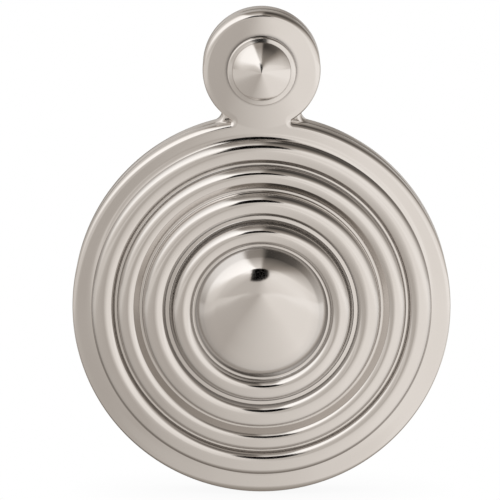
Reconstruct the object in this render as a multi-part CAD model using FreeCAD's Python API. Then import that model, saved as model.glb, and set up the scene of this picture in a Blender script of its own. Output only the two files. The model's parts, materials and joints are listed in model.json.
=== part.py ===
import FreeCAD, Part

import math
import os

# Covered keyhole escutcheon: a cast backplate with a keyhole, a reeded round cover that hangs
# in front of it from a shouldered pivot pin, and the pin itself, riveted into the backplate.
# Millimetres. X runs to the right and Z up, seen from the front, and the front faces -Y.
# The origin is the centre of the disc, on the back face of the backplate.
# Sizes called depth are measured from that back face towards the front.

# Outline shared by the backplate and the cover
disc_radius = 20.0
ear_radius = 6.2
ear_overlap = 0.9

# Backplate
plate_thickness = 2.7
plate_edge_round = 0.45
plate_notch_round = 1.0

# Keyhole through the backplate
keyhole_head_radius = 4.6
keyhole_head_height = 4.0
keyhole_slot_width = 5.0
keyhole_slot_drop = 8.0

# Screw holes either side of the keyhole, countersunk from the front
screw_hole_radius = 1.6
screw_head_radius = 3.1
screw_edge_distance = 6.5

# Cover
cover_thickness = 2.2
cover_gap = 0.12
cover_edge_round = 0.4
cover_back_bevel = 0.18
cover_notch_round = 0.15
hollow_rim_width = 2.4
hollow_depth = 4.3

# Stepped mound on the cover: rises are measured from the flat of its rim
rim_width = 1.78
quirk_cove_round = 1.4
quirk_slope = 17.0
dome_groove_radius = 7.12
groove_depth = 0.65
groove_root_round = 0.12
reed_narrowing = 0.12
reed_inner_shoulder = 0.32
reed_outer_shoulder = 0.62
widest_shoulder_share = 0.25

# Each reed, from the dome outwards: the rise of the groove inside it, that groove's flat floor,
# how far its crest leans in from the middle of its width, the round of its crest, and the share
# of its width that the crest takes up on each side.
reeds = (
    (2.60, 0.12, 0.20, 1.9, 0.22),
    (1.68, 0.26, 0.22, 1.9, 0.22),
    (0.66, 0.14, 0.03, 1.9, 0.22),
    (0.05, 0.11, -0.03, 3.2, 0.26),
)

# Dome in the middle of the mound: the round of its crown, and then each tighter round with the
# slope in degrees where it starts
dome_rise = 4.50
dome_crown_round = 28.0
dome_rounds = ((6.0, 13.5), (14.0, 4.2), (31.0, 1.4))

# Pivot pin
pin_shank_radius = 2.0
pin_bore_clearance = 0.05
pin_head_clearance = 0.08
pin_flange_radius = 3.6
pin_flange_thickness = 1.05
pin_flange_round = 0.3
pin_head_ledge = 0.52
pin_tip_round = 0.5
pin_tail_radius = 1.5
pin_rivet_radius = 2.4
pin_rivet_depth = 0.9

# Side of the pin's low pointed head, below its tip: each round with the slope in degrees where
# it starts
pin_head_rounds = ((10.0, 12.0), (15.0, 4.8))

# Places that follow from the sizes above
pivot_height = disc_radius + ear_radius - ear_overlap
screw_offset = disc_radius - screw_edge_distance
hollow_radius = disc_radius - hollow_rim_width
rim_inner_radius = disc_radius - rim_width
cover_back_depth = plate_thickness + cover_gap
cover_face_depth = cover_back_depth + cover_thickness
pin_seat_depth = cover_face_depth + pin_head_clearance
pin_flange_rise = pin_head_clearance + pin_flange_thickness
pin_head_radius = pin_flange_radius - pin_head_ledge


def at(x, z, depth):
    """A point of the model from its place in the front view and its depth."""
    return FreeCAD.Vector(x, -depth, z)


def depth_prism(face, depth):
    """The solid that a face in the back plane sweeps towards the front."""
    return face.extrude(FreeCAD.Vector(0, -depth, 0))


def face_of(edges):
    return Part.Face(Part.Wire(edges))


def arc_through(a, b, c):
    return Part.Arc(a, b, c).toShape()


def line(a, b):
    return Part.LineSegment(a, b).toShape()


def outline(notch_round):
    """Disc and ear in one outline, with a rounded notch on each side where they meet."""
    reach = disc_radius + notch_round
    notch_z = (pivot_height**2 + reach**2 - (ear_radius + notch_round)**2) / (2 * pivot_height)
    notch_x = math.sqrt(reach**2 - notch_z**2)
    share = disc_radius / reach
    disc_x, disc_z = notch_x * share, notch_z * share
    share = ear_radius / (ear_radius + notch_round)
    ear_x, ear_z = notch_x * share, pivot_height + (notch_z - pivot_height) * share

    middle_x, middle_z = (disc_x + ear_x) / 2 - notch_x, (disc_z + ear_z) / 2 - notch_z
    share = notch_round / math.hypot(middle_x, middle_z)
    inner_x, inner_z = notch_x + middle_x * share, notch_z + middle_z * share
    right = arc_through(at(disc_x, disc_z, 0), at(inner_x, inner_z, 0), at(ear_x, ear_z, 0))
    left = arc_through(at(-ear_x, ear_z, 0), at(-inner_x, inner_z, 0), at(-disc_x, disc_z, 0))
    ear = arc_through(at(ear_x, ear_z, 0), at(0, pivot_height + ear_radius, 0),
                      at(-ear_x, ear_z, 0))
    disc = arc_through(at(-disc_x, disc_z, 0), at(0, -disc_radius, 0), at(disc_x, disc_z, 0))
    return face_of([right, ear, left, disc])


def edges_at_depth(shape, depth):
    """Edges that lie wholly at one depth."""
    found = []
    for edge in shape.Edges:
        box = edge.BoundBox
        if abs(box.YMin + depth) < 1e-6 and abs(box.YMax + depth) < 1e-6:
            found.append(edge)
    return found


def turned(profile, z=0.0):
    """The solid turned by a closed profile of (radius, depth) edges about an axis along Y."""
    solid = profile.revolve(at(0, 0, 0), FreeCAD.Vector(0, -1, 0), 360)
    solid.translate(FreeCAD.Vector(0, 0, z))
    return solid


def ring_point(radius, depth):
    return at(radius, 0, depth)


def polygon(points):
    corners = [ring_point(*point) for point in points]
    return face_of([line(a, b) for a, b in zip(corners, corners[1:] + corners[:1])])


class Round:
    """A round of the turned profile: its centre, its radius, and whether it stands proud."""

    def __init__(self, radius, rise, size, proud):
        self.radius, self.rise, self.size, self.proud = radius, rise, size, proud

    def surface(self, slope):
        """The point of the surface where it falls outwards at this slope in radians."""
        side = self.size if self.proud else -self.size
        return (self.radius + side * math.sin(slope), self.rise + side * math.cos(slope))

    def slope_at(self, point):
        side = 1 if self.proud else -1
        return math.atan2(side * (point[0] - self.radius), side * (point[1] - self.rise))


def tangent_round(other, slope, size):
    """A round of another size, bending the same way, that runs into this one at a slope."""
    shift = (other.size - size) * (1 if other.proud else -1)
    return Round(other.radius + shift * math.sin(slope), other.rise + shift * math.cos(slope),
                 size, other.proud)


def wall_between(inner, outer):
    """Where a wall leaves the inner round and reaches the outer one.

    One of them is proud and the other hollow. They are joined by the straight line that
    touches both, or meet in a crease where they stand too close for one."""
    run, rise = outer.radius - inner.radius, outer.rise - inner.rise
    gap, reach = math.hypot(run, rise), inner.size + outer.size
    if gap >= reach:
        lean, bearing = math.acos(reach / gap), math.atan2(run, rise)
        slope = bearing - lean if inner.proud else bearing - math.pi + lean
        return inner.surface(slope), outer.surface(slope)
    along = (gap**2 + inner.size**2 - outer.size**2) / (2 * gap)
    across = math.sqrt(inner.size**2 - along**2)
    crease = (inner.radius + (run * along + rise * across) / gap,
              inner.rise + (rise * along - run * across) / gap)
    return crease, crease


class Profile:
    """A line of rounds and walls that is drawn outwards from the axis."""

    def __init__(self, first, start):
        self.edges, self.piece, self.start = [], first, start

    def finish_round(self, end):
        """Draw the round in hand from where it was taken up to this point."""
        slope = (self.piece.slope_at(self.start) + self.piece.slope_at(end)) / 2
        points = [self.start, self.piece.surface(slope), end]
        self.edges.append(arc_through(*(front_point(*point) for point in points)))

    def wall(self, start, end):
        """Draw a straight stretch, unless its ends are one point."""
        if math.dist(start, end) > 1e-6:
            self.edges.append(line(front_point(*start), front_point(*end)))

    def go_to(self, piece, leave, reach):
        """Leave the round in hand at one point and take up the next round at another."""
        self.finish_round(leave)
        self.wall(leave, reach)
        self.piece, self.start = piece, reach

    def wall_to(self, piece):
        """Go down or up a straight wall to a round that bends the other way."""
        self.go_to(piece, *wall_between(self.piece, piece))

    def floor_to(self, piece):
        """Go along a level floor to the next round."""
        self.go_to(piece, self.piece.surface(0), piece.surface(0))

    def change_to(self, piece, slope):
        """Run into a round that bends the same way, at the place with this slope."""
        self.go_to(piece, self.piece.surface(slope), self.piece.surface(slope))

    def tighten_to(self, slope, size):
        """Run into a round of another size at the place with this slope."""
        self.change_to(tangent_round(self.piece, slope, size), slope)


def front_point(radius, rise):
    """A point of the turned profile, from its rise above the flat of the cover's rim."""
    return ring_point(radius, cover_face_depth + rise)


def dome_profile():
    """A nearly flat crown, and rounds that tighten towards the drop to the first groove."""
    crown = Round(0, dome_rise - dome_crown_round, dome_crown_round, True)
    profile = Profile(crown, crown.surface(0))
    for slope, size in dome_rounds:
        profile.tighten_to(math.radians(slope), size)
    return profile


def add_groove(profile, radius, rise, floor):
    """A groove with a tight root on either side of its level floor."""
    roots = [Round(radius + side * floor / 2, rise + groove_root_round, groove_root_round, False)
             for side in (-1, 1)]
    profile.wall_to(roots[0])
    profile.floor_to(roots[1])


def add_reed(profile, crest, width, crest_share):
    """A reed: the shoulder inside its crest, the crest, and the softer shoulder outside it."""
    slope = math.asin(crest_share * width / crest.size)
    profile.wall_to(tangent_round(crest, -slope, reed_inner_shoulder))
    profile.change_to(crest, -slope)
    profile.tighten_to(slope, min(reed_outer_shoulder, widest_shoulder_share * width))


def mound_edges():
    """The front of the mound from the top of the dome out to the flat of the rim.

    The reeds share the room between the dome's groove and the quirk, a crease with a narrow
    cove that runs round the foot of the last one."""
    cove = Round(rim_inner_radius, quirk_cove_round, quirk_cove_round, False)
    quirk = tangent_round(cove, math.radians(quirk_slope), groove_root_round)
    mean_width = (quirk.radius - dome_groove_radius) / len(reeds)

    profile = dome_profile()
    radius = dome_groove_radius
    for place, (rise, floor, lean, crest_round, crest_share) in enumerate(reeds):
        width = mean_width + ((len(reeds) - 1) / 2 - place) * reed_narrowing
        add_groove(profile, radius, rise, floor)
        crest = Round(radius + width / 2 - lean, rise + groove_depth - crest_round,
                      crest_round, True)
        add_reed(profile, crest, width, crest_share)
        radius += width

    profile.wall_to(quirk)
    profile.change_to(cove, math.radians(quirk_slope))
    profile.finish_round(cove.surface(0))
    return profile.edges


def mound():
    """The dome and its reeds, turned down to the middle of the cover's thickness."""
    base = cover_face_depth - cover_thickness / 2
    edges = mound_edges()
    rim, foot = ring_point(rim_inner_radius, cover_face_depth), ring_point(rim_inner_radius, base)
    middle, top = ring_point(0, base), ring_point(0, cover_face_depth + dome_rise)
    edges += [line(rim, foot), line(foot, middle), line(middle, top)]
    return turned(face_of(edges))


def hollow():
    """The dished recess in the back of the cover, part of a large sphere."""
    sphere_radius = (hollow_radius**2 + hollow_depth**2) / (2 * hollow_depth)
    centre_depth = cover_back_depth + hollow_depth - sphere_radius
    return Part.makeSphere(sphere_radius, at(0, 0, centre_depth))


def cylinder(radius, x, z, near, far):
    """A round bar between two depths."""
    return Part.makeCylinder(radius, far - near, at(x, z, near), FreeCAD.Vector(0, -1, 0))


def flare(near_radius, far_radius, x, z, near, far):
    """A cone between two depths."""
    return Part.makeCone(near_radius, far_radius, far - near, at(x, z, near),
                         FreeCAD.Vector(0, -1, 0))


def keyhole():
    """Round head for the key's shank over a straight slot with a round foot for its bit."""
    half = keyhole_slot_width / 2
    slot = polygon([(-half, 0), (half, 0), (half, plate_thickness), (-half, plate_thickness)])
    drop = keyhole_head_height + keyhole_slot_drop
    slot.translate(FreeCAD.Vector(0, 0, -keyhole_slot_drop))
    straight = slot.extrude(FreeCAD.Vector(0, 0, drop))
    head = cylinder(keyhole_head_radius, 0, keyhole_head_height, 0, plate_thickness)
    foot = cylinder(half, 0, -keyhole_slot_drop, 0, plate_thickness)
    return head.fuse([straight, foot])


def screw_hole(x):
    sink = screw_head_radius - screw_hole_radius
    hole = cylinder(screw_hole_radius, x, 0, 0, plate_thickness)
    return hole.fuse(flare(screw_hole_radius, screw_head_radius, x, 0,
                           plate_thickness - sink, plate_thickness))


def pin_hole():
    """The hole for the pin's tail, widened at the back where the tail is riveted over."""
    hole = cylinder(pin_tail_radius, 0, pivot_height, 0, plate_thickness)
    return hole.fuse(flare(pin_rivet_radius, pin_tail_radius, 0, pivot_height,
                           0, pin_rivet_depth))


def backplate():
    plate = depth_prism(outline(plate_notch_round), plate_thickness)
    plate = plate.makeFillet(plate_edge_round, edges_at_depth(plate, plate_thickness))
    screws = [screw_hole(side * screw_offset) for side in (-1, 1)]
    return plate.cut([keyhole(), pin_hole()] + screws)


def cover():
    slab = depth_prism(outline(cover_notch_round), cover_thickness)
    slab = slab.makeFillet(cover_edge_round, edges_at_depth(slab, cover_thickness))
    slab = slab.makeChamfer(cover_back_bevel, edges_at_depth(slab, 0))
    slab.translate(FreeCAD.Vector(0, -cover_back_depth, 0))
    bore = cylinder(pin_shank_radius + pin_bore_clearance, 0, pivot_height,
                    cover_back_depth, cover_face_depth)
    return slab.fuse(mound()).cut([hollow(), bore]).removeSplitter()


def pin_head_rise():
    """How far the tip of the pin's head stands above its foot, and the slope at the foot."""
    side = Round(0, 0, pin_tip_round, True)
    for slope, size in pin_head_rounds:
        side = tangent_round(side, math.radians(slope), size)
    foot_slope = math.asin((pin_head_radius - side.radius) / side.size)
    return pin_tip_round - side.surface(foot_slope)[1], foot_slope


def pin_head_edges():
    """The bowed side of the pin's head, from its small round tip down to its foot."""
    rise, foot_slope = pin_head_rise()
    tip = Round(0, pin_flange_rise + rise - pin_tip_round, pin_tip_round, True)
    profile = Profile(tip, tip.surface(0))
    for slope, size in pin_head_rounds:
        profile.tighten_to(math.radians(slope), size)
    profile.finish_round(profile.piece.surface(foot_slope))
    return profile.edges


def pivot_pin():
    """Turned in one piece: head, bearing shank with its shoulder, and the riveted tail."""
    corners = [(0, 0), (pin_rivet_radius, 0), (pin_tail_radius, pin_rivet_depth),
               (pin_tail_radius, plate_thickness), (pin_shank_radius, plate_thickness),
               (pin_shank_radius, pin_seat_depth), (pin_flange_radius, pin_seat_depth)]
    points = [ring_point(*corner) for corner in corners]
    edge_round = Round(pin_flange_radius - pin_flange_round, pin_flange_rise - pin_flange_round,
                       pin_flange_round, True)
    outer, middle, inner = (front_point(*edge_round.surface(math.radians(slope)))
                            for slope in (90, 45, 0))
    head = pin_head_edges()
    foot, tip = front_point(pin_head_radius, pin_flange_rise), head[0].firstVertex().Point
    edges = [line(a, b) for a, b in zip(points, points[1:] + [outer])]
    edges += [arc_through(outer, middle, inner), line(inner, foot), line(tip, points[0])]
    return turned(face_of(Part.__sortEdges__(edges + head)), z=pivot_height)


nodes = {"backplate": backplate, "cover": cover, "pivot_pin": pivot_pin}

os.makedirs("parts", exist_ok=True)
for name, make in nodes.items():
    shape = make()
    shape.exportStep(f"parts/{name}.step")
    box = shape.BoundBox
    print(f"{name}: {len(shape.Solids)} solid, valid {shape.isValid()}, "
          f"{shape.Volume:.1f} mm3, X {box.XMin:.2f} to {box.XMax:.2f}, "
          f"Y {box.YMin:.2f} to {box.YMax:.2f}, Z {box.ZMin:.2f} to {box.ZMax:.2f}")
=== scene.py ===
# %% [markdown]
# # A covered keyhole escutcheon in polished nickel
#
# The real thing is three pieces of plated brass: a backplate that is screwed to a door, a reeded
# round cover that hangs over its keyhole, and the pin that the cover swings on. Nearly all of
# its look is reflection, so this lesson spends its effort on three things: surfaces with the
# true curves, a nickel finish that is not perfectly even, and a small studio to reflect.

# %% Load the frame
import json
import math
import bmesh
import bpy
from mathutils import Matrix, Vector


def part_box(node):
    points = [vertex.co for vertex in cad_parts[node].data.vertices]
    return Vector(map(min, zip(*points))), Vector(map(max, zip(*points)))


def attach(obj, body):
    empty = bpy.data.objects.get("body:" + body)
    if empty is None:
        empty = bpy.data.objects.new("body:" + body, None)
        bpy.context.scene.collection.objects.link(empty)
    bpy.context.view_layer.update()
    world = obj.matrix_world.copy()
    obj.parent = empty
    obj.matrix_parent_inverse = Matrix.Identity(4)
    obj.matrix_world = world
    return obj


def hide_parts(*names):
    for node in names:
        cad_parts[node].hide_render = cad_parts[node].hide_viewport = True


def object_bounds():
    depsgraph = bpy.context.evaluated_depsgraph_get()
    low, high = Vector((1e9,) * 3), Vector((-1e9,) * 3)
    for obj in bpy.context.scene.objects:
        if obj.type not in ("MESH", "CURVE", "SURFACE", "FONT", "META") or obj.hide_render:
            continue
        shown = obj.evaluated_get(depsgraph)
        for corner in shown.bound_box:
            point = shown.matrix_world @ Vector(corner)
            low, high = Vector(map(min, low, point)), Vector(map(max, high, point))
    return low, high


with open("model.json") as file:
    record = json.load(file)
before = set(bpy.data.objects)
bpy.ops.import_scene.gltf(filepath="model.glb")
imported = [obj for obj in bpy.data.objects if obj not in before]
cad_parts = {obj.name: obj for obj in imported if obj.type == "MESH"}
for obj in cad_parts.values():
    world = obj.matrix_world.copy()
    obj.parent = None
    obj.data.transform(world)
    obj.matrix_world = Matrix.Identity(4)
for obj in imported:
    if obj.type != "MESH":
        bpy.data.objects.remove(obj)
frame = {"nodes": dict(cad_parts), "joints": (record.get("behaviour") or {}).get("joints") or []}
cad_low, cad_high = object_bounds()
print("frame nodes:", sorted(frame["nodes"]))

# %% [markdown]
# ## Sizes
#
# The overall sizes are read from the imported frame, so that each piece made here lies exactly on
# the solid that it stands for. The rest are the turned shapes, in millimetres. Depth runs from the
# door towards the eye, and rise is counted from the flat of the cover's rim.

# %% Sizes from the frame
MM = 0.001

plate_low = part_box("backplate")[0]
cover_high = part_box("cover")[1]
pin_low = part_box("pivot_pin")[0]
swing = next(joint for joint in frame["joints"] if joint["name"] == "cover_swing")

disc_radius = cover_high.x / MM
pivot_height = swing["pos_m"][2] / MM
ear_radius = cover_high.z / MM - pivot_height
plate_thickness = -plate_low.y / MM
cover_back_depth = -cover_high.y / MM
pin_tip_depth = -pin_low.y / MM
print(f"disc {2 * disc_radius:.1f} mm, ear {2 * ear_radius:.1f} mm, "
      f"pivot {pivot_height:.1f} mm up")

# %% Sizes of the shapes
cover_thickness = 2.2
cover_edge_width = 0.62
cover_edge_drop = 0.36
cover_back_round = 0.18
cover_notch_round = 0.15
hollow_rim_width = 2.4
hollow_depth = 4.3
bore_radius = 2.05

plate_edge_round = 0.45
plate_back_round = 0.12
plate_notch_round = 1.0
keyhole_head_radius = 4.6
keyhole_head_height = 4.0
keyhole_slot_width = 5.0
keyhole_slot_drop = 8.0
keyhole_corner_round = 0.3
screw_hole_radius = 1.6
screw_head_radius = 3.1
screw_edge_distance = 6.5
hole_edge_break = 0.1

rim_width = 1.35
quirk_cove_round = 2.6
quirk_slope = 17.0
dome_groove_radius = 7.12
groove_depth = 0.65
groove_root_round = 0.12
reed_narrowing = 0.12
reed_inner_shoulder = 0.7
reed_outer_shoulder = 0.8
# Each reed, from the dome outwards: the rise and the floor's width of the groove inside it, how
# far its crest lies inwards, the crest's round, and the crest's half width as a share of the reed.
reeds = (
    (2.60, 0.12, 0.26, 1.84, 0.18),
    (1.68, 0.40, 0.11, 2.5, 0.24),
    (0.66, 0.14, -0.08, 1.8, 0.195),
    (0.05, 0.11, -0.09, 2.67, 0.28),
)

# The dome's rounds here, and the pin head's below: (degrees of slope where it starts, its size).
dome_rise = 4.50
dome_crown_round = 28.0
dome_rounds = ((6.0, 13.5), (14.0, 4.2), (31.0, 1.4))

pin_shank_radius = 2.0
pin_head_clearance = 0.08
pin_flange_radius = 3.6
pin_flange_thickness = 1.05
pin_flange_round = 0.16
pin_head_ledge = 0.52
pin_ledge_slope = 12.0
pin_head_rounds = ((10.0, 12.0), (15.0, 4.8))
pin_foot_round = 0.22
pin_foot_slope = 78.0
pin_tip_round = 0.5
pin_tail_radius = 1.5
pin_rivet_radius = 2.4
pin_rivet_depth = 0.9

screw_offset = disc_radius - screw_edge_distance
hollow_radius = disc_radius - hollow_rim_width
rim_inner_radius = disc_radius - rim_width
cover_face_depth = cover_back_depth + cover_thickness
pin_seat_depth = cover_face_depth + pin_head_clearance
pin_flange_rise = pin_head_clearance + pin_flange_thickness
pin_head_radius = pin_flange_radius - pin_head_ledge
print(f"screws {2 * screw_offset:.1f} mm apart, rim {rim_width:.2f} mm wide, "
      f"dome {dome_rise:.1f} mm proud")

# %% [markdown]
# ## One tree that sweeps a profile round a path
#
# Every curved surface here is a profile carried round a closed path: the reeded mound and the pin
# are turned about an axis, and the edges of both plates run round their outline. A lathe is the
# same sweep with a path of no size, so one Geometry Nodes tree makes them all. The path's points
# carry an arrow, outward, that says which way the profile's first number counts.

# %% A helper that adds nodes
def add(tree, kind, sockets=None, **settings):
    """A new node, with its settings, and its sockets given a value or linked."""
    made = tree.nodes.new(kind)
    for name, value in settings.items():
        setattr(made, name, value)
    for name, value in (sockets or {}).items():
        if isinstance(value, bpy.types.NodeSocket):
            tree.links.new(value, made.inputs[name])
        else:
            made.inputs[name].default_value = value
    return made


# %% The sweep tree
WELD = 1e-7


def counted_points(tree, holder):
    """The points of a helper object, and how many there are."""
    info = add(tree, "GeometryNodeObjectInfo", {"Object": holder}, transform_space="ORIGINAL")
    points = info.outputs["Geometry"]
    size = add(tree, "GeometryNodeAttributeDomainSize", {"Geometry": points}, component="MESH")
    return points, size.outputs["Point Count"]


def whole(tree, operation, a, b):
    return add(tree, "FunctionNodeIntegerMath", {0: a, 1: b}, operation=operation).outputs[0]


def vector(tree, operation, sockets):
    return add(tree, "ShaderNodeVectorMath", sockets, operation=operation).outputs[0]


def sample(tree, points, value, index):
    """A vector of the points' own, read at a place in their order."""
    node = add(tree, "GeometryNodeSampleIndex", data_type="FLOAT_VECTOR", domain="POINT")
    for name, source in (("Geometry", points), ("Value", value), ("Index", index)):
        tree.links.new(source, node.inputs[name])
    return node.outputs[0]


def sweep_tree():
    """Geometry Nodes: point (i, j) is path i, plus outward i times out j, less depth j along Y."""
    tree = bpy.data.node_groups.new("sweep_round_path", "GeometryNodeTree")
    for name, kind in (("Path", "NodeSocketObject"), ("Profile", "NodeSocketObject"),
                       ("Weld distance", "NodeSocketFloat"), ("Finish", "NodeSocketMaterial")):
        tree.interface.new_socket(name, in_out="INPUT", socket_type=kind)
    tree.interface.new_socket("Geometry", in_out="OUTPUT", socket_type="NodeSocketGeometry")
    given = add(tree, "NodeGroupInput").outputs

    path, path_count = counted_points(tree, given["Path"])
    profile, profile_count = counted_points(tree, given["Profile"])
    grid = add(tree, "GeometryNodeMeshGrid", {
        "Vertices X": whole(tree, "ADD", path_count, 1), "Vertices Y": profile_count})
    index = add(tree, "GeometryNodeInputIndex").outputs[0]
    lap = whole(tree, "DIVIDE_FLOOR", index, profile_count)
    column = whole(tree, "MODULO", lap, path_count)
    row = whole(tree, "MODULO", index, profile_count)

    position = add(tree, "GeometryNodeInputPosition").outputs[0]
    outward = add(tree, "GeometryNodeInputNamedAttribute", {"Name": "outward"},
                  data_type="FLOAT_VECTOR").outputs["Attribute"]
    place = sample(tree, path, position, column)
    arrow = sample(tree, path, outward, column)
    shape = add(tree, "ShaderNodeSeparateXYZ", {0: sample(tree, profile, position, row)})
    across = vector(tree, "SCALE", {0: arrow, "Scale": shape.outputs["X"]})
    towards = vector(tree, "SCALE", {0: (0, -1, 0), "Scale": shape.outputs["Y"]})
    total = vector(tree, "ADD", {0: place, 1: vector(tree, "ADD", {0: across, 1: towards})})

    move = add(tree, "GeometryNodeSetPosition",
               {"Geometry": grid.outputs["Mesh"], "Position": total})
    weld = add(tree, "GeometryNodeMergeByDistance",
               {"Geometry": move.outputs[0], "Distance": given["Weld distance"]})
    real = add(tree, "GeometryNodeRealizeInstances", {"Geometry": weld.outputs[0]})
    finish = add(tree, "GeometryNodeSetMaterial",
                 {"Geometry": real.outputs[0], "Material": given["Finish"]})
    add(tree, "NodeGroupOutput", {"Geometry": finish.outputs[0]})
    return tree


SWEEP = sweep_tree()
print("sweep tree:", len(SWEEP.nodes), "nodes")

# %% Helpers that feed the tree
def helper_object(name, points, arrows=None):
    """A mesh of loose points, with its arrows as an attribute."""
    mesh = bpy.data.meshes.new(name)
    mesh.from_pydata([[value * MM for value in point] for point in points], [], [])
    if arrows:
        attribute = mesh.attributes.new("outward", "FLOAT_VECTOR", "POINT")
        attribute.data.foreach_set("vector", [value for arrow in arrows for value in arrow])
    made = bpy.data.objects.new(name, mesh)
    bpy.context.scene.collection.objects.link(made)
    return made


def swept_mesh(name, path, profile, finish):
    """The plain mesh that the tree makes from a path and a profile of (out, depth) points."""
    path_object = helper_object(name + "_path", [(x, 0, z) for x, z, _, _ in path],
                                [(across, 0, up) for _, _, across, up in path])
    profile_object = helper_object(name + "_profile", [(out, depth, 0) for out, depth in profile])
    carrier = helper_object(name + "_carrier", [])
    modifier = carrier.modifiers.new("sweep", "NODES")
    modifier.node_group = SWEEP
    values = {"Path": path_object, "Profile": profile_object, "Weld distance": WELD,
              "Finish": finish}
    for socket in SWEEP.interface.items_tree:
        if socket.in_out == "INPUT":
            modifier[socket.identifier] = values[socket.name]
    view = bpy.context.evaluated_depsgraph_get()
    mesh = bpy.data.meshes.new_from_object(carrier.evaluated_get(view))
    for used in (carrier, path_object, profile_object):
        bpy.data.objects.remove(used)
    print(f"{name}: {len(path)} places round the path, {len(profile)} across")
    return mesh

# %% [markdown]
# ## Paths
#
# The outline that both plates share is four arcs: the disc, the ear, and a small arc in each
# notch between them. Moving such an outline inwards keeps the arcs' centres and angles, which is
# why one list of places and arrows can carry the whole rounded edge without a fold.

# %% Arcs, circles and the outline
ARC_STEP = 1.0
FEWEST_STEPS = 6
SMALL_ARC_SHARE = 0.3
SAME_PLACE = 1e-6
MOUND_STEPS = 264
HOLLOW_STEPS = 180
PIN_STEPS = 256
HOLE_STEPS = 96


def arc(centre, radius, start, end, arrow=1):
    """Places along an arc, in degrees from the right, with the arrow at each."""
    fineness = min(1, SMALL_ARC_SHARE + radius / disc_radius)
    count = max(FEWEST_STEPS, round(abs(end - start) / ARC_STEP * fineness))
    places = []
    for step in range(count + 1):
        angle = math.radians(start + (end - start) * step / count)
        across, up = math.cos(angle), math.sin(angle)
        places.append((centre[0] + radius * across, centre[1] + radius * up,
                       arrow * across, arrow * up))
    return places


def closed(*arcs):
    """Arcs in one closed path, with each place where two of them meet kept once."""
    places = []
    for place in sum(arcs, []):
        if not places or math.dist(place[:2], places[-1][:2]) > SAME_PLACE:
            places.append(place)
    if math.dist(places[0][:2], places[-1][:2]) < SAME_PLACE:
        places.pop()
    return places


def circle(centre, count):
    """A path of no size: all of it is at the centre, and only the arrows turn."""
    angles = [math.tau * step / count for step in range(count)]
    return [(centre[0], centre[1], math.cos(angle), math.sin(angle)) for angle in angles]


def outline(notch_round):
    """The disc and its ear, anticlockwise, with a rounded notch on each side."""
    reach, ear_reach = disc_radius + notch_round, ear_radius + notch_round
    notch_z = (pivot_height**2 + reach**2 - ear_reach**2) / (2 * pivot_height)
    notch_x = math.sqrt(reach**2 - notch_z**2)
    disc_angle = math.degrees(math.atan2(notch_z, notch_x))
    ear_angle = math.degrees(math.atan2(notch_z - pivot_height, notch_x))
    return closed(
        arc((0, pivot_height), ear_radius, ear_angle, 180 - ear_angle),
        arc((-notch_x, notch_z), notch_round, -ear_angle, -disc_angle, -1),
        arc((0, 0), disc_radius, 180 - disc_angle, 360 + disc_angle),
        arc((notch_x, notch_z), notch_round, 180 + disc_angle, 180 + ear_angle, -1))


def keyhole_path():
    """The keyhole, anticlockwise, with its arrows into the metal."""
    half, corner = keyhole_slot_width / 2, keyhole_corner_round
    reach = keyhole_head_radius + corner
    corner_z = keyhole_head_height - math.sqrt(reach**2 - (half + corner)**2)
    lean = math.degrees(math.acos((half + corner) / reach))
    return closed(
        arc((0, keyhole_head_height), keyhole_head_radius, -lean, 180 + lean),
        arc((-half - corner, corner_z), corner, lean, 0, -1),
        arc((0, -keyhole_slot_drop), half, 180, 360),
        arc((half + corner, corner_z), corner, 180, 180 - lean, -1))


print("outline places:", len(outline(cover_notch_round)), "keyhole places:", len(keyhole_path()))

# %% [markdown]
# ## Profiles
#
# The cover is turned like a moulding: each reed is a low crest with a small round on either side,
# each groove is a tight root, and straight walls that touch both rounds join them. A few radii
# say it all, and the places where one round runs into the next follow from them. A mirror finish
# shows every facet, so rounds are drawn with a point for every few degrees of slope.

# %% Rounds and walls
SLOPE_STEP = math.radians(4)
GUARD = 0.02


class Round:
    """A round of a turned profile: its centre, its size, and whether it stands proud."""

    def __init__(self, radius, rise, size, proud):
        self.radius, self.rise, self.size, self.proud = radius, rise, size, proud

    def surface(self, slope):
        """The point where the surface falls outwards at this slope in radians."""
        side = self.size if self.proud else -self.size
        return (self.radius + side * math.sin(slope), self.rise + side * math.cos(slope))

    def slope_at(self, point):
        """The slope in radians of the surface at one of its points."""
        side = 1 if self.proud else -1
        return math.atan2(side * (point[0] - self.radius), side * (point[1] - self.rise))


def tangent_round(other, slope, size):
    """A round of another size, bending the same way, that runs into this one at a slope."""
    shift = (other.size - size) * (1 if other.proud else -1)
    return Round(other.radius + shift * math.sin(slope), other.rise + shift * math.cos(slope),
                 size, other.proud)


def wall_between(inner, outer):
    """Where a straight wall leaves one round and reaches the next, or the crease they meet in."""
    run, rise = outer.radius - inner.radius, outer.rise - inner.rise
    gap, reach = math.hypot(run, rise), inner.size + outer.size
    if gap >= reach:
        lean, bearing = math.acos(reach / gap), math.atan2(run, rise)
        slope = bearing - lean if inner.proud else bearing - math.pi + lean
        return inner.surface(slope), outer.surface(slope)
    along = (gap**2 + inner.size**2 - outer.size**2) / (2 * gap)
    across = math.sqrt(inner.size**2 - along**2)
    crease = (inner.radius + (run * along + rise * across) / gap,
              inner.rise + (rise * along - run * across) / gap)
    return crease, crease


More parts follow.
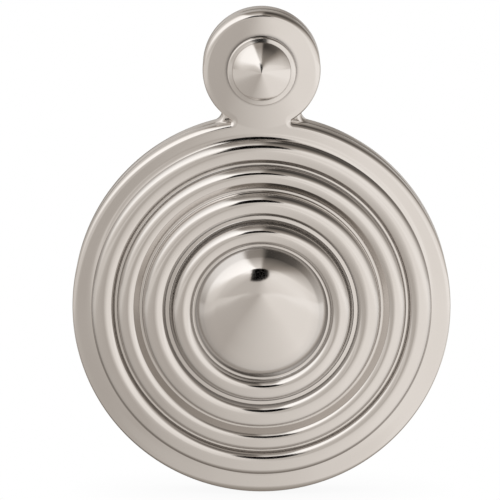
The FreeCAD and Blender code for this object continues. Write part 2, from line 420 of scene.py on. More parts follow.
class Profile:
    """A line of rounds and walls, kept as the points of a turned mesh."""

    def __init__(self, first, start):
        self.points, self.piece, self.start = [start], first, start

    def finish_round(self, end):
        """Draw the round in hand up to this point, with a point for each step of slope."""
        first, last = self.piece.slope_at(self.start), self.piece.slope_at(end)
        count = max(2, math.ceil(abs(last - first) / SLOPE_STEP))
        for step in range(1, count + 1):
            self.points.append(self.piece.surface(first + (last - first) * step / count))

    def go_to(self, piece, leave, reach):
        """Leave the round in hand at one point and reach the next piece at another."""
        self.finish_round(leave)
        if math.dist(leave, reach) > SAME_PLACE:
            self.points.append(reach)
        self.piece, self.start = piece, reach

    def wall_to(self, piece):
        """Go down or up a straight wall to a round that bends the other way."""
        self.go_to(piece, *wall_between(self.piece, piece))

    def floor_to(self, piece):
        """Go along a level floor to the next round."""
        self.go_to(piece, self.piece.surface(0), piece.surface(0))

    def change_to(self, piece, slope):
        """Run into a round that bends the same way, at the place with this slope."""
        self.go_to(piece, self.piece.surface(slope), self.piece.surface(slope))

    def tighten_to(self, slope, size):
        """Run into a round of another size at the place with this slope."""
        self.change_to(tangent_round(self.piece, slope, size), slope)

# %% The reeded mound
def dome_profile():
    """A nearly flat crown, and rounds that tighten towards the drop to the first groove."""
    crown = Round(0, dome_rise - dome_crown_round, dome_crown_round, True)
    profile = Profile(crown, crown.surface(0))
    for slope, size in dome_rounds:
        profile.tighten_to(math.radians(slope), size)
    return profile


def add_groove(profile, radius, rise, floor):
    """A groove with a tight root on either side of its level floor."""
    roots = [Round(radius + side * floor / 2, rise + groove_root_round, groove_root_round, False)
             for side in (-1, 1)]
    profile.wall_to(roots[0])
    profile.floor_to(roots[1])


def add_reed(profile, crest, half_width):
    """A reed: the shoulder inside its crest, the crest, and the softer shoulder outside it."""
    slope = math.asin(half_width / crest.size)
    profile.wall_to(tangent_round(crest, -slope, reed_inner_shoulder))
    profile.change_to(crest, -slope)
    profile.tighten_to(slope, reed_outer_shoulder)


QUIRK_MARK_RISE = 0.03


def mound_points():
    """(radius, depth) from the top of the dome to the flat of the rim, and the grooves' floors.

    The reeds share the room between the dome's groove and the quirk, a crease at the foot of
    the last one, from which a cove rises to the rim."""
    cove = Round(rim_inner_radius, quirk_cove_round, quirk_cove_round, False)
    quirk = tangent_round(cove, math.radians(quirk_slope), groove_root_round)
    mean_width = (quirk.radius - dome_groove_radius) / len(reeds)

    profile = dome_profile()
    radius, floors = dome_groove_radius, []
    for place, (rise, floor, lean, crest_round, crest_share) in enumerate(reeds):
        width = mean_width + ((len(reeds) - 1) / 2 - place) * reed_narrowing
        add_groove(profile, radius, rise, floor)
        floors.append((radius, cover_face_depth + rise))
        crest = Round(radius + width / 2 - lean, rise + groove_depth - crest_round,
                      crest_round, True)
        add_reed(profile, crest, crest_share * width)
        radius += width

    profile.wall_to(quirk)
    profile.change_to(cove, math.radians(quirk_slope))
    floors.append((quirk.radius, cover_face_depth + QUIRK_MARK_RISE))
    profile.finish_round(cove.surface(0))
    profile.points.append((rim_inner_radius + GUARD, 0))
    return [(radius, cover_face_depth + rise) for radius, rise in profile.points], floors


mound, groove_floors = mound_points()
print(f"mound: {len(mound)} points, grooves at", [round(radius, 1) for radius, _ in groove_floors])

# %% Edges of the plates
def quarter(width, drop, count=8):
    """A rounded edge from its upright side, (0, -drop), to its face, (-width, 0)."""
    angles = [math.pi / 2 * step / count for step in range(count + 1)]
    return [(-width * (1 - math.cos(angle)), -drop * (1 - math.sin(angle))) for angle in angles]


def plate_wall(back, face, back_round, edge_width, edge_drop):
    """(out, depth) round the edge of a plate from its back to its face."""
    back_edge = [(out, back - rise) for out, rise in reversed(quarter(back_round, back_round, 4))]
    face_edge = [(out, face + rise) for out, rise in quarter(edge_width, edge_drop)]
    return ([(-back_round - GUARD, back)] + back_edge + face_edge
            + [(-edge_width - GUARD, face)])


def hole_wall(back, face, edge):
    """(out, depth) through a hole from back to face, with a small broken edge at the face."""
    return [(GUARD, back), (0, back), (0, face - edge), (edge, face), (edge + GUARD, face)]

# %% [markdown]
# ## Finishes
#
# Polished nickel is a mirror with a warm tint, and a perfect one looks like a computer made it.
# Three things are off in a real one. Buffing leaves the face very slightly wavy, with faint rings
# round its middle. Handling leaves patches that are a little less bright. The wheel never reaches
# the corners of a groove, which stay duller. Their colour is darker there as painted shade, and
# painted shade also darkens the corner at the foot of the pin.
# The backs were never buffed and keep the grain of the casting under their plating.

# %% Shader helpers
def new_material(name):
    """An empty material and its tree."""
    material = bpy.data.materials.new(name)
    material.use_nodes = True
    material.node_tree.nodes.clear()
    return material, material.node_tree


def math_node(tree, operation, *values):
    """The result of one sum on numbers or sockets."""
    sockets = dict(enumerate(values))
    return add(tree, "ShaderNodeMath", sockets, operation=operation).outputs[0]


def noise(tree, where, size_mm, detail):
    """Soft lumps of about this size in millimetres, from 0 to 1."""
    node = add(tree, "ShaderNodeTexNoise",
               {"Vector": where, "Scale": 1 / (size_mm * MM), "Detail": detail})
    return node.outputs[0]


def spread(tree, value, low, high, result_low, result_high):
    """One range of numbers mapped to another, held at its ends."""
    node = add(tree, "ShaderNodeMapRange", {0: value, 1: low, 2: high, 3: result_low,
                                            4: result_high})
    return node.outputs[0]


def blend_colour(tree, share, first, second):
    """The first colour where the share is 0, the second where it is 1."""
    node = add(tree, "ShaderNodeMix", {0: share, 6: first, 7: second}, data_type="RGBA")
    return node.outputs[2]


def bump(tree, height, millimetres, under=None):
    """A surface raised by a height from 0 to 1 times so many millimetres."""
    sockets = {"Height": height, "Distance": millimetres * MM, "Strength": 1.0}
    if under:
        sockets["Normal"] = under
    return add(tree, "ShaderNodeBump", sockets).outputs[0]

# %% Nickel
NICKEL = (0.712, 0.680, 0.650, 1)
NICKEL_PATCH = (0.680, 0.646, 0.614, 1)
# Painted shade: the darker colour of the grooves' corners; the same colour draws the dark line
# round the rivet.
NICKEL_SHADED_ROOT_AND_JOINT = (0.42, 0.406, 0.394, 1)
NICKEL_CAST = (0.40, 0.37, 0.335, 1)
# Painted shade: the colour of the corner round the foot of the pin.
NICKEL_NOOK_SHADE = (0.10, 0.09, 0.085, 1)
EAR_LEAN = 2.5

# Painted shade at the pin's foot: how far it looks round itself, the radii between which it ends,
# the openness between which it fades, and how dark it is at its darkest.
NOOK_REACH = 0.4
NOOK_RADII = (4.1, 4.6)
NOOK_OPENNESS = (0.5, 0.9)
NOOK_SHARE = 0.85
NOOK_SAMPLES = 6

# Noises: the size of their lumps in millimetres, and their detail.
PATCHES = (9.0, 3.0)
WAVES = (3.2, 1.0)
GRAIN = (0.12, 2.0)
RING_DRIFT = (14.0, 1.0)
SAND = (0.35, 4.0)
CLOUD = (6.0, 3.0)

# The part of a noise's range that counts.
TONE_RANGE = (0.35, 0.7)
BUFFING_RANGE = (0.3, 0.75)
SAND_RANGE = (0.3, 0.7)

# Heights of the bumps in millimetres.
WAVE_HEIGHT = 0.004
PIN_WAVE_HEIGHT = 0.016
GRAIN_HEIGHT = 0.0002
RING_HEIGHT = 0.0012
SAND_HEIGHT = 0.045
CLOUD_HEIGHT = 0.025

RING_SPACING = 0.22
RING_WANDER = 3.0
BUFFED_ROUGHNESS = (0.055, 0.095)
CAST_ROUGHNESS = (0.32, 0.48)
GROOVE_BLUR = 0.15
PIN_BLUR = 0.04

# Where each piece lies in the noises, so that no two pieces share their patches.
COVER_SHIFT = (0, 0, 0)
PLATE_SHIFT = (0.1, 0, 0)
PIN_SHIFT = (0, 0.1, 0)


def distance(tree, where, centre):
    """How far a place is from a centre, in metres."""
    node = add(tree, "ShaderNodeVectorMath", {0: where, 1: centre}, operation="DISTANCE")
    return node.outputs["Value"]


def crowned(tree, where, centre, radius, lean):
    """A height in metres that falls away from a point, to this lean in degrees at a radius."""
    away = math_node(tree, "MINIMUM", distance(tree, where, centre), radius * MM)
    fall = math.tan(math.radians(lean)) / (2 * radius * MM)
    return math_node(tree, "MULTIPLY", math_node(tree, "MULTIPLY", away, away), -fall)


def wheel_rings(tree, where, centre):
    """Fine rings about a centre, uneven and broken, as a polishing wheel leaves them."""
    rings = math_node(tree, "DIVIDE", distance(tree, where, centre), RING_SPACING * MM)
    drift = math_node(tree, "MULTIPLY", noise(tree, where, *RING_DRIFT), RING_WANDER)
    place = add(tree, "ShaderNodeCombineXYZ", {0: rings, 1: drift}).outputs[0]
    node = add(tree, "ShaderNodeTexNoise", {"Vector": place, "Scale": 1.0, "Detail": 2.0})
    return node.outputs[0]


def painted_nook_shade(tree, where, centre):
    """Painted shade at the foot of the pin: 1 in the corner round its flange, 0 in the open."""
    near, far = (radius * MM for radius in NOOK_RADII)
    by_the_pin = spread(tree, distance(tree, where, centre), near, far, 1, 0)
    openness = add(tree, "ShaderNodeAmbientOcclusion", {"Distance": NOOK_REACH * MM},
                   samples=NOOK_SAMPLES).outputs["AO"]
    closeness = spread(tree, openness, *NOOK_OPENNESS, NOOK_SHARE, 0)
    return math_node(tree, "MULTIPLY", by_the_pin, closeness)


def polished_nickel(name, shift, ring_centre, crown_centre=None, blur=0.0, wave=WAVE_HEIGHT):
    """Buffed nickel plate, duller in the grooves where the mesh says so, with painted shade in the
    grooves' corners and at the pin's foot, and a crowned ear.
    """
    material, tree = new_material(name)
    coordinates = add(tree, "ShaderNodeTexCoord").outputs["Object"]
    where = add(tree, "ShaderNodeMapping", {"Vector": coordinates, "Location": shift}).outputs[0]
    patches = noise(tree, where, *PATCHES)
    waves = noise(tree, where, *WAVES)
    grain = noise(tree, where, *GRAIN)
    groove = add(tree, "ShaderNodeAttribute", attribute_name="groove").outputs["Fac"]

    plate = blend_colour(tree, spread(tree, patches, *TONE_RANGE, 0, 1), NICKEL, NICKEL_PATCH)
    # Painted shade in the grooves' corners, where the mark says so; on the pin the mark is the
    # dark line round the rivet.
    colour = blend_colour(tree, groove, plate, NICKEL_SHADED_ROOT_AND_JOINT)
    # Painted shade at the foot of the pin, from an occlusion node.
    colour = blend_colour(tree, painted_nook_shade(tree, coordinates, ear_centre), colour, NICKEL_NOOK_SHADE)
    bright, soft = (roughness + blur for roughness in BUFFED_ROUGHNESS)
    buffed = spread(tree, patches, *BUFFING_RANGE, bright, soft)
    roughness = math_node(tree, "MULTIPLY_ADD", groove, GROOVE_BLUR, buffed)
    surface = bump(tree, grain, GRAIN_HEIGHT, bump(tree, waves, wave))
    surface = bump(tree, wheel_rings(tree, coordinates, ring_centre), RING_HEIGHT, surface)
    if crown_centre:
        crown = crowned(tree, coordinates, crown_centre, ear_radius, EAR_LEAN)
        surface = bump(tree, crown, 1 / MM, surface)
    metal = add(tree, "ShaderNodeBsdfPrincipled", {
        "Base Color": colour, "Metallic": 1.0, "Roughness": roughness, "Normal": surface})
    add(tree, "ShaderNodeOutputMaterial", {"Surface": metal.outputs[0]})
    return material


def cast_nickel(name):
    """The unbuffed backs: plating over the fine grain of a sand casting."""
    material, tree = new_material(name)
    where = add(tree, "ShaderNodeTexCoord").outputs["Object"]
    sand = noise(tree, where, *SAND)
    cloud = noise(tree, where, *CLOUD)
    colour = blend_colour(tree, spread(tree, cloud, *TONE_RANGE, 0, 1), NICKEL_CAST, NICKEL_PATCH)
    surface = bump(tree, sand, SAND_HEIGHT, bump(tree, cloud, CLOUD_HEIGHT))
    metal = add(tree, "ShaderNodeBsdfPrincipled", {
        "Base Color": colour, "Metallic": 1.0,
        "Roughness": spread(tree, sand, *SAND_RANGE, *CAST_ROUGHNESS), "Normal": surface})
    add(tree, "ShaderNodeOutputMaterial", {"Surface": metal.outputs[0]})
    return material


disc_centre = (0, -cover_face_depth * MM, 0)
ear_centre = (0, -cover_face_depth * MM, pivot_height * MM)
plate_finish = polished_nickel("plate_nickel_buffed", PLATE_SHIFT, disc_centre)
cover_finish = polished_nickel("cover_nickel_buffed", COVER_SHIFT, disc_centre, ear_centre)
pin_finish = polished_nickel("pin_nickel_buffed", PIN_SHIFT, ear_centre, blur=PIN_BLUR,
                             wave=PIN_WAVE_HEIGHT)
cast_finish = cast_nickel("nickel_as_cast")
print("finishes:", [material.name for material in bpy.data.materials])

# %% [markdown]
# ## Putting a piece together
#
# A piece is a few swept strips that end in level loops, and the flat faces between those loops.
# Filling the loops with triangles closes the solid. The strips keep a narrow level guard row at
# each loop, so that the smooth shading of a rounded edge never runs out over a flat.

# %% Closing and dressing a piece
SHARP = math.radians(28)
LEVEL = 1e-7
BACK_REACH = 0.01


def fill_level(solid, depth):
    """Fill the flat face at one depth between all the open loops that lie in it."""
    level = [edge for edge in solid.edges if edge.is_boundary
             and all(abs(vertex.co.y + depth * MM) < LEVEL for vertex in edge.verts)]
    bmesh.ops.triangle_fill(solid, use_beauty=True, edges=level)


def piece(name, strips, levels, finishes, is_cast=None):
    """One closed mesh object from swept strips and the levels to fill between them."""
    solid = bmesh.new()
    for strip in strips:
        solid.from_mesh(strip)
        bpy.data.meshes.remove(strip)
    for depth in levels:
        fill_level(solid, depth)
    bmesh.ops.recalc_face_normals(solid, faces=solid.faces)
    if solid.calc_volume(signed=True) < 0:
        bmesh.ops.reverse_faces(solid, faces=solid.faces)
    for face in solid.faces:
        face.smooth = True
        face.material_index = 1 if is_cast and is_cast(face) else 0
    open_edges = sum(not edge.is_manifold for edge in solid.edges)
    volume = solid.calc_volume(signed=True) / MM**3
    mesh = bpy.data.meshes.new(name)
    solid.to_mesh(mesh)
    solid.free()
    for finish in finishes:
        mesh.materials.append(finish)
    mesh.set_sharp_from_angle(angle=SHARP)
    made = bpy.data.objects.new(name, mesh)
    bpy.context.scene.collection.objects.link(made)
    mesh.calc_loop_triangles()
    print(f"{name}: {len(mesh.loop_triangles)} triangles, {open_edges} open edges, "
          f"{volume:.0f} mm3")
    return made


def at_back(point):
    """Whether a point lies in the plane of the back, against the door."""
    return point.y > -BACK_REACH * MM


def store_marks(made, values):
    """Keep one number for each point, as the attribute that makes the finish duller and darker:
    painted shade in the grooves' corners, and the dark line round the rivet.
    """
    made.data.attributes.new("groove", "FLOAT", "POINT").data.foreach_set("value", values)


def dress(made, node, body):
    """Stand for a CAD node, which is hidden, and ride on its body."""
    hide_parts(node)
    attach(made, body)

# %% [markdown]
# ## The backplate
#
# A flat casting in the shape of a disc with an ear. Its keyhole is cut for a lever key, with a
# round head for the shank and a slot for the bit, and two countersunk holes beside it take the
# screws. In the photograph only its edge shows, above the cover, so its notches are what matter:
# they are rounder than the cover's.

# %% Backplate
def screw_profile():
    """(radius, depth) through a countersunk hole."""
    sink = plate_thickness - (screw_head_radius - screw_hole_radius)
    return [(screw_hole_radius + GUARD, 0), (screw_hole_radius, 0), (screw_hole_radius, sink),
            (screw_head_radius, plate_thickness), (screw_head_radius + GUARD, plate_thickness)]


def rivet_profile():
    """(radius, depth) through the hole for the pin's tail."""
    return [(pin_rivet_radius + GUARD, 0), (pin_rivet_radius, 0),
            (pin_tail_radius, pin_rivet_depth), (pin_tail_radius, plate_thickness),
            (pin_tail_radius + GUARD, plate_thickness)]


plate_strips = [
    swept_mesh("plate_edge", outline(plate_notch_round),
               plate_wall(0, plate_thickness, plate_back_round, plate_edge_round,
                          plate_edge_round), plate_finish),
    swept_mesh("keyhole", keyhole_path(), hole_wall(0, plate_thickness, hole_edge_break),
               plate_finish),
    swept_mesh("rivet_hole", circle((0, pivot_height), HOLE_STEPS), rivet_profile(),
               plate_finish)]
for side in (-1, 1):
    plate_strips.append(swept_mesh("screw_hole", circle((side * screw_offset, 0), HOLE_STEPS),
                                   screw_profile(), plate_finish))
backplate_piece = piece("backplate_casting", plate_strips, [0, plate_thickness],
                        [plate_finish, cast_finish],
                        lambda face: at_back(face.calc_center_median()))
dress(backplate_piece, "backplate", "plate")

# %% [markdown]
# ## The cover
#
# The mound is turned: the profile above is swept round the disc's axis. Its grooves and its quirk
# get a mark, so that the finish can be duller there and painted shade can darken its colour. It is
# an attribute that is 1 in the corners just above a floor and less up the walls, and 0 wherever
# the surface is nearly level. The back is dished, as castings of this kind are to save metal.

# %% Cover
ROOT_RISES = (0.01, 0.05, 0.14, 0.4)
WALL_MARK = 0.4
STEEP_FROM = 0.95
STEEP_OVER = 0.2
FRONT_FACING = 0.1
HOLLOW_FACING = 0.3


def hollow_points(count=14):
    """(radius, depth) of the dished back, part of a large sphere, from its middle outwards."""
    sphere = (hollow_radius**2 + hollow_depth**2) / (2 * hollow_depth)
    widest = math.asin(hollow_radius / sphere)
    points = []
    for step in range(count + 1):
        angle = widest * step / count
        points.append((sphere * math.sin(angle),
                       cover_back_depth + hollow_depth - sphere * (1 - math.cos(angle))))
    return points + [(hollow_radius + GUARD, cover_back_depth)]


def bore_profile():
    """(radius, depth) through the hole that the cover swings on."""
    return [(bore_radius + GUARD, cover_back_depth), (bore_radius, cover_back_depth),
            (bore_radius, cover_face_depth), (bore_radius + GUARD, cover_face_depth)]


def root_mark(radius, depth):
    """The mark by the rise above the nearest floor: 0 on it, 1 in its corner, less up the wall."""
    floor_depth = min(groove_floors, key=lambda groove: abs(groove[0] - radius))[1]
    rise = depth - floor_depth
    foot, corner, corner_top, wall = ROOT_RISES
    if rise < corner:
        return max(0, (rise - foot) / (corner - foot))
    fall = max(0, min(1, (rise - corner_top) / (wall - corner_top)))
    return 1 + (WALL_MARK - 1) * fall


def groove_dullness_and_shade(vertex):
    """A point's mark: that of its rise where the mound is steep, and 0 elsewhere."""
    radius = math.hypot(vertex.co.x, vertex.co.z) / MM
    if radius >= rim_inner_radius or vertex.normal.y >= -FRONT_FACING:
        return 0
    steep = min(1, max(0, STEEP_FROM + vertex.normal.y) / STEEP_OVER)
    return steep * root_mark(radius, -vertex.co.y / MM)


def in_hollow(face):
    """Whether a face of the cover belongs to its dished back."""
    out = math.hypot(*face.calc_center_median().xz)
    return face.normal.y > HOLLOW_FACING and out < (hollow_radius + GUARD) * MM


cover_strips = [
    swept_mesh("cover_edge", outline(cover_notch_round),
               plate_wall(cover_back_depth, cover_face_depth, cover_back_round,
                          cover_edge_width, cover_edge_drop), cover_finish),
    swept_mesh("mound", circle((0, 0), MOUND_STEPS), mound, cover_finish),
    swept_mesh("hollow", circle((0, 0), HOLLOW_STEPS), hollow_points(), cover_finish),
    swept_mesh("bore", circle((0, pivot_height), HOLE_STEPS), bore_profile(), cover_finish)]
cover_piece = piece("reeded_cover", cover_strips, [cover_back_depth, cover_face_depth],
                    [cover_finish, cast_finish], in_hollow)
store_marks(cover_piece, [groove_dullness_and_shade(vertex) for vertex in cover_piece.data.vertices])
dress(cover_piece, "cover", "cover")

# %% [markdown]
# ## The pivot pin
#
# Turned from bar: a flange with a pointed head, a shank for the cover to swing on, and a tail
# that is riveted over in the backplate. One profile makes all of it. A dark line round the rivet,
# where its edge has been beaten into the plate, is all that shows of it from behind.

# %% Pivot pin
RIVET_LINE_WIDTH = 0.22


def pin_head_points():
    """(radius, depth) of the bowed head, from its small round tip down to its foot."""
    tip = Round(0, 0, pin_tip_round, True)
    profile = Profile(tip, tip.surface(0))
    for slope, size in pin_head_rounds:
        profile.tighten_to(math.radians(slope), size)
    side, foot = profile.piece, math.sin(math.radians(pin_foot_slope)) * pin_foot_round
    slope = math.asin((pin_head_radius - foot - side.radius) / (side.size - pin_foot_round))
    profile.tighten_to(slope, pin_foot_round)
    profile.finish_round(profile.piece.surface(math.radians(pin_foot_slope)))
    lift = cover_face_depth + pin_flange_rise - profile.points[-1][1]
    return [(radius, lift + rise) for radius, rise in profile.points]


def pin_points():
    """(radius, depth) all round the pin, from the middle of its back to its tip."""
    flange_top = cover_face_depth + pin_flange_rise
    points = [(0, 0), (pin_rivet_radius - RIVET_LINE_WIDTH, 0), (pin_rivet_radius, 0),
              (pin_tail_radius, pin_rivet_depth),
              (pin_tail_radius, plate_thickness), (pin_shank_radius, plate_thickness),
              (pin_shank_radius, pin_seat_depth), (pin_flange_radius, pin_seat_depth)]
    ledge_width = pin_head_ledge - pin_flange_round
    ledge_edge = flange_top - ledge_width * math.tan(math.radians(pin_ledge_slope))
    rounded = quarter(pin_flange_round, pin_flange_round, 6)
    points += [(pin_flange_radius + out, ledge_edge + rise) for out, rise in rounded]
    head = pin_head_points()
    points.append((head[-1][0], flange_top))
    return points + head[::-1]


def rivet_mark(vertex):
    """1 where the edge of the tail meets the back of the plate, and 0 elsewhere."""
    out = math.hypot(vertex.co.x, vertex.co.z - pivot_height * MM)
    return int(at_back(vertex.co) and out > (pin_rivet_radius - BACK_REACH) * MM)


pin_strip = swept_mesh("pin", circle((0, pivot_height), PIN_STEPS), pin_points(), pin_finish)
pin_piece = piece("pivot_pin_turned", [pin_strip], [], [pin_finish])
store_marks(pin_piece, [rivet_mark(vertex) for vertex in pin_piece.data.vertices])
dress(pin_piece, "pivot_pin", "plate")
print(f"pin's tip {pin_points()[-1][1]:.2f} mm from the door, in the frame {pin_tip_depth:.2f} mm")

# %% [markdown]
# ## The studio
#
# A mirror shows the room. The photograph's reflections tell of a small tent: a bright panel up on
# the left, a dark flag up on the right, the black camera between them with its left side hidden
# by the panel's edge, and a pale table that is darker on the left, behind the part and at its
# foot. The panels are painted on the world, by direction, round the line from the part to the
# lens. The world and the table look plain white to the camera itself.

# %% Camera
VIEW_ELEVATION = 10.0
STUDIO_ELEVATION = 14.5
VIEW_DISTANCE = 500.0
PICTURE_PIXELS = 500
PIXELS_PER_MM = 9.46
RIM_CENTRE_PIXEL = (261.5, 307.5)
SENSOR = 36.0
CLIP = (0.01, 20)

tilt = math.radians(VIEW_ELEVATION)
to_lens = Vector((0, -math.cos(tilt), math.sin(tilt)))
lens_up = Vector((0, math.sin(tilt), math.cos(tilt)))
studio_tilt = math.radians(STUDIO_ELEVATION)
studio_axis = Vector((0, -math.cos(studio_tilt), math.sin(studio_tilt)))
studio_up = Vector((0, math.sin(studio_tilt), math.cos(studio_tilt)))
across_px = RIM_CENTRE_PIXEL[0] - PICTURE_PIXELS / 2
down_px = RIM_CENTRE_PIXEL[1] - PICTURE_PIXELS / 2
rim_centre = Vector((0, -cover_face_depth, 0))
aim = rim_centre + (Vector((-across_px, 0, 0)) + lens_up * down_px) / PIXELS_PER_MM

lens = bpy.data.cameras.new("lens")
lens.sensor_width = SENSOR
lens.lens = SENSOR * VIEW_DISTANCE * PIXELS_PER_MM / PICTURE_PIXELS
lens.clip_start, lens.clip_end = CLIP
camera = bpy.data.objects.new("camera", lens)
camera.location = (aim + to_lens * VIEW_DISTANCE) * MM
camera.rotation_euler = (math.pi / 2 - tilt, 0, 0)
bpy.context.scene.collection.objects.link(camera)
bpy.context.scene.camera = camera
print(f"camera: {lens.lens:.0f} mm lens at {VIEW_DISTANCE:.0f} mm")

# %% World
# Stops of (degrees round the studio's axis from the right, brightness), for directions near the
# lens, further out, beside and behind the part, and away from the lens.
NEAR_PANELS = ((0, 1.0), (14, 0.75), (34, 0.42), (60, 0.30), (86, 0.33), (91, 0.88), (112, 0.92),
               (118, 1.5), (170, 1.4), (185, 0.90), (200, 0.75), (215, 0.62), (262, 0.62),
               (285, 0.9), (330, 1.05))
FAR_PANELS = ((0, 0.9), (20, 0.66), (34, 0.32), (46, 0.12), (84, 0.04), (90, 0.36), (109, 0.38),
              (114, 1.35), (166, 1.35), (182, 0.92), (200, 0.75), (215, 0.62), (262, 0.6),
              (285, 0.95), (332, 1.12), (348, 1.0))
BEHIND_PANELS = ((0, 0.75), (14, 0.5), (27, 0.28), (40, 0.18), (84, 0.16), (92, 0.22),
                 (107, 0.28), (114, 0.9), (148, 0.9), (165, 0.7), (182, 0.5), (205, 0.45),
                 (262, 0.5), (330, 0.5), (350, 0.75))
BACKDROP_PANELS = ((0, 0.5), (25, 0.4), (42, 0.3), (72, 0.28), (84, 0.4), (100, 0.48),
                   (128, 0.62), (160, 0.6), (185, 0.5), (330, 0.5))
# Degrees off the axis between which one set of panels runs into the next.
NEAR_TO_FAR = (12, 48)
FAR_TO_BEHIND = (56, 84)
BEHIND_TO_BACKDROP = (112, 140)

LENS_HALF_WIDTH = 7.0
LENS_SOFTNESS = 0.05
LENS_LEFT = 2.3
PANEL_EDGE = -6.0
PANEL_SOFTNESS = 0.006
ROOM_WARMTH = 0.033
WARMTH_RISE = 3 * ROOM_WARMTH
WARMTH_FALL = 0.06
PLAIN_BRIGHTNESS = 1.5


def grey_ramp(tree, share, stops, low=0, high=360):
    """Brightness from stops of (place, brightness), with the places from low to high."""
    ramp = add(tree, "ShaderNodeValToRGB", {0: share})
    elements = ramp.color_ramp.elements
    while len(elements) < len(stops):
        elements.new(0.5)
    brightest = max(brightness for _, brightness in stops)
    for element, (place, brightness) in zip(elements, stops):
        element.position = (place - low) / (high - low)
        grey = brightness / brightest
        element.color = (grey, grey, grey, 1)
    return math_node(tree, "MULTIPLY", ramp.outputs[0], brightest)


def along(tree, direction, axis):
    """How far a direction goes along an axis, from -1 to 1."""
    node = add(tree, "ShaderNodeVectorMath", {0: direction, 1: tuple(axis)},
               operation="DOT_PRODUCT")
    return node.outputs["Value"]


def mix_value(tree, share, first, second):
    """The first number where the share is 0, the second where it is 1."""
    return add(tree, "ShaderNodeMix", {0: share, 2: first, 3: second}).outputs[0]


def warmed(tree, strength, to_camera):
    """A grey made warm, but plain where it is black, where it is brightest, and to the camera."""
    in_dark = math_node(tree, "MULTIPLY", strength, WARMTH_RISE)
    in_light = math_node(tree, "MULTIPLY_ADD", strength, -WARMTH_FALL,
                         WARMTH_FALL * PLAIN_BRIGHTNESS)
    least = math_node(tree, "MINIMUM", math_node(tree, "MINIMUM", in_dark, in_light), ROOM_WARMTH)
    warmth = mix_value(tree, to_camera, math_node(tree, "MAXIMUM", least, 0.0), 0.0)
    red = math_node(tree, "ADD", strength, warmth)
    blue = math_node(tree, "SUBTRACT", strength, warmth)
    return add(tree, "ShaderNodeCombineColor",
               {"Red": red, "Green": strength, "Blue": blue}).outputs[0]


def studio_world():
    """The tent, painted by direction: four sets of panels, the lens, and the panel before it."""
    world = bpy.data.worlds.new("studio")
    world.use_nodes = True
    tree = world.node_tree
    tree.nodes.clear()
    direction = add(tree, "ShaderNodeTexCoord").outputs["Generated"]
    forward = along(tree, direction, studio_axis)
    right = along(tree, direction, (1, 0, 0))
    upward = along(tree, direction, studio_up)
    off_lens = math_node(tree, "ARCCOSINE", forward)
    turn = math_node(tree, "FRACT", math_node(
        tree, "ADD", math_node(tree, "DIVIDE", math_node(tree, "ARCTAN2", upward, right),
                               math.tau), 1.0))
    room = grey_ramp(tree, turn, NEAR_PANELS)
    for panels, limits in ((FAR_PANELS, NEAR_TO_FAR), (BEHIND_PANELS, FAR_TO_BEHIND),
                           (BACKDROP_PANELS, BEHIND_TO_BACKDROP)):
        share = spread(tree, off_lens, *(math.radians(limit) for limit in limits), 0, 1)
        room = mix_value(tree, share, room, grey_ramp(tree, turn, panels))
    half = math.radians(LENS_HALF_WIDTH)
    lens_axis = (studio_axis + Vector((-math.radians(LENS_LEFT), 0, 0))).normalized()
    off_glass = math_node(tree, "ARCCOSINE", along(tree, direction, lens_axis))
    open_air = spread(tree, off_glass, half * (1 - LENS_SOFTNESS), half * (1 + LENS_SOFTNESS),
                      0, 1)
    edge = math.sin(math.radians(PANEL_EDGE))
    in_front = spread(tree, right, edge - PANEL_SOFTNESS, edge + PANEL_SOFTNESS, 1, 0)
    seen = math_node(tree, "MULTIPLY", room, math_node(tree, "MAXIMUM", open_air, in_front))
    to_camera = add(tree, "ShaderNodeLightPath").outputs["Is Camera Ray"]
    strength = mix_value(tree, to_camera, seen, 1.0)
    light = add(tree, "ShaderNodeBackground", {"Color": warmed(tree, strength, to_camera)})
    add(tree, "ShaderNodeOutputWorld", {"Surface": light.outputs[0]})
    bpy.context.scene.world = world
    print("studio:", len(tree.nodes), "nodes")


studio_world()

# %% Table
TABLE_SIZE = 3.0
TABLE_GAP = 0.3
# The table glows as painted light for the metal: brighter on the right, with painted shade on its
# left, at the part's foot and behind it.
TABLE_STOPS = ((-120, 0.78), (-60, 0.58), (-17, 0.53), (17, 0.98), (60, 1.0), (120, 1.12))
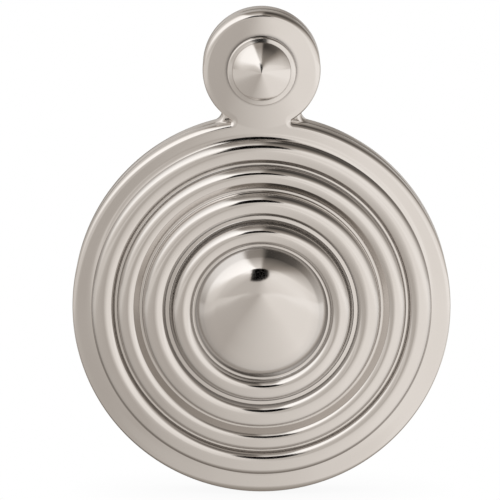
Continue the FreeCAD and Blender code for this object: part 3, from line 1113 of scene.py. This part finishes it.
# The shade at the part's foot: its middle, and how far from there it is deepest and ends, and how
# bright its deepest is. Behind the part: where the shade starts and is deepest, and how bright.
FOOT_SHADE = (-2.5, 2.0, 6.0, 0.35)
SHADE_BEHIND = (12.0, 45.0, 0.55)
SHADOW_REACH = 9.0
SHADOW_DEPTH = 0.07
SHADOW_SAMPLES = 8


def table_material():
    """White to the camera, with a faint painted contact shadow, and to the metal a glow with
    painted shades.
    """
    material, tree = new_material("pale_table")
    where = add(tree, "ShaderNodeTexCoord").outputs["Object"]
    place = add(tree, "ShaderNodeSeparateXYZ", {0: where}).outputs
    left, right = TABLE_STOPS[0][0], TABLE_STOPS[-1][0]
    across = spread(tree, place["X"], left * MM, right * MM, 0, 1)
    sides = grey_ramp(tree, across, TABLE_STOPS, left, right)
    middle, deepest, end, foot_brightness = FOOT_SHADE
    off = math_node(tree, "ABSOLUTE", math_node(tree, "SUBTRACT", place["Y"], middle * MM))
    foot = spread(tree, off, deepest * MM, end * MM, foot_brightness, 1)
    start, deepest, brightness = SHADE_BEHIND
    behind = spread(tree, place["Y"], start * MM, deepest * MM, 1, brightness)
    shade = math_node(tree, "MULTIPLY", math_node(tree, "MULTIPLY", sides, foot), behind)
    # A painted contact shadow from an occlusion node, seen only by the camera.
    contact = add(tree, "ShaderNodeAmbientOcclusion", {"Distance": SHADOW_REACH * MM},
                  samples=SHADOW_SAMPLES).outputs["AO"]
    shadow = spread(tree, contact, 0, 1, 1 - SHADOW_DEPTH, 1)
    to_camera = add(tree, "ShaderNodeLightPath").outputs["Is Camera Ray"]
    strength = mix_value(tree, to_camera, shade, shadow)
    light = add(tree, "ShaderNodeEmission", {"Color": warmed(tree, strength, to_camera)})
    add(tree, "ShaderNodeOutputMaterial", {"Surface": light.outputs[0]})
    return material


def table():
    """A square table just under the part."""
    low = cad_low.z - TABLE_GAP * MM
    half = TABLE_SIZE / 2
    mesh = bpy.data.meshes.new("table")
    mesh.from_pydata([(-half, -half, low), (half, -half, low), (half, half, low),
                      (-half, half, low)], [], [(0, 1, 2, 3)])
    mesh.materials.append(table_material())
    made = bpy.data.objects.new("table", mesh)
    bpy.context.scene.collection.objects.link(made)
    print(f"table: {TABLE_SIZE:.0f} m wide, {TABLE_GAP:.1f} mm under the part")


table()

# %% View transform
bpy.context.scene.view_settings.view_transform = "Standard"
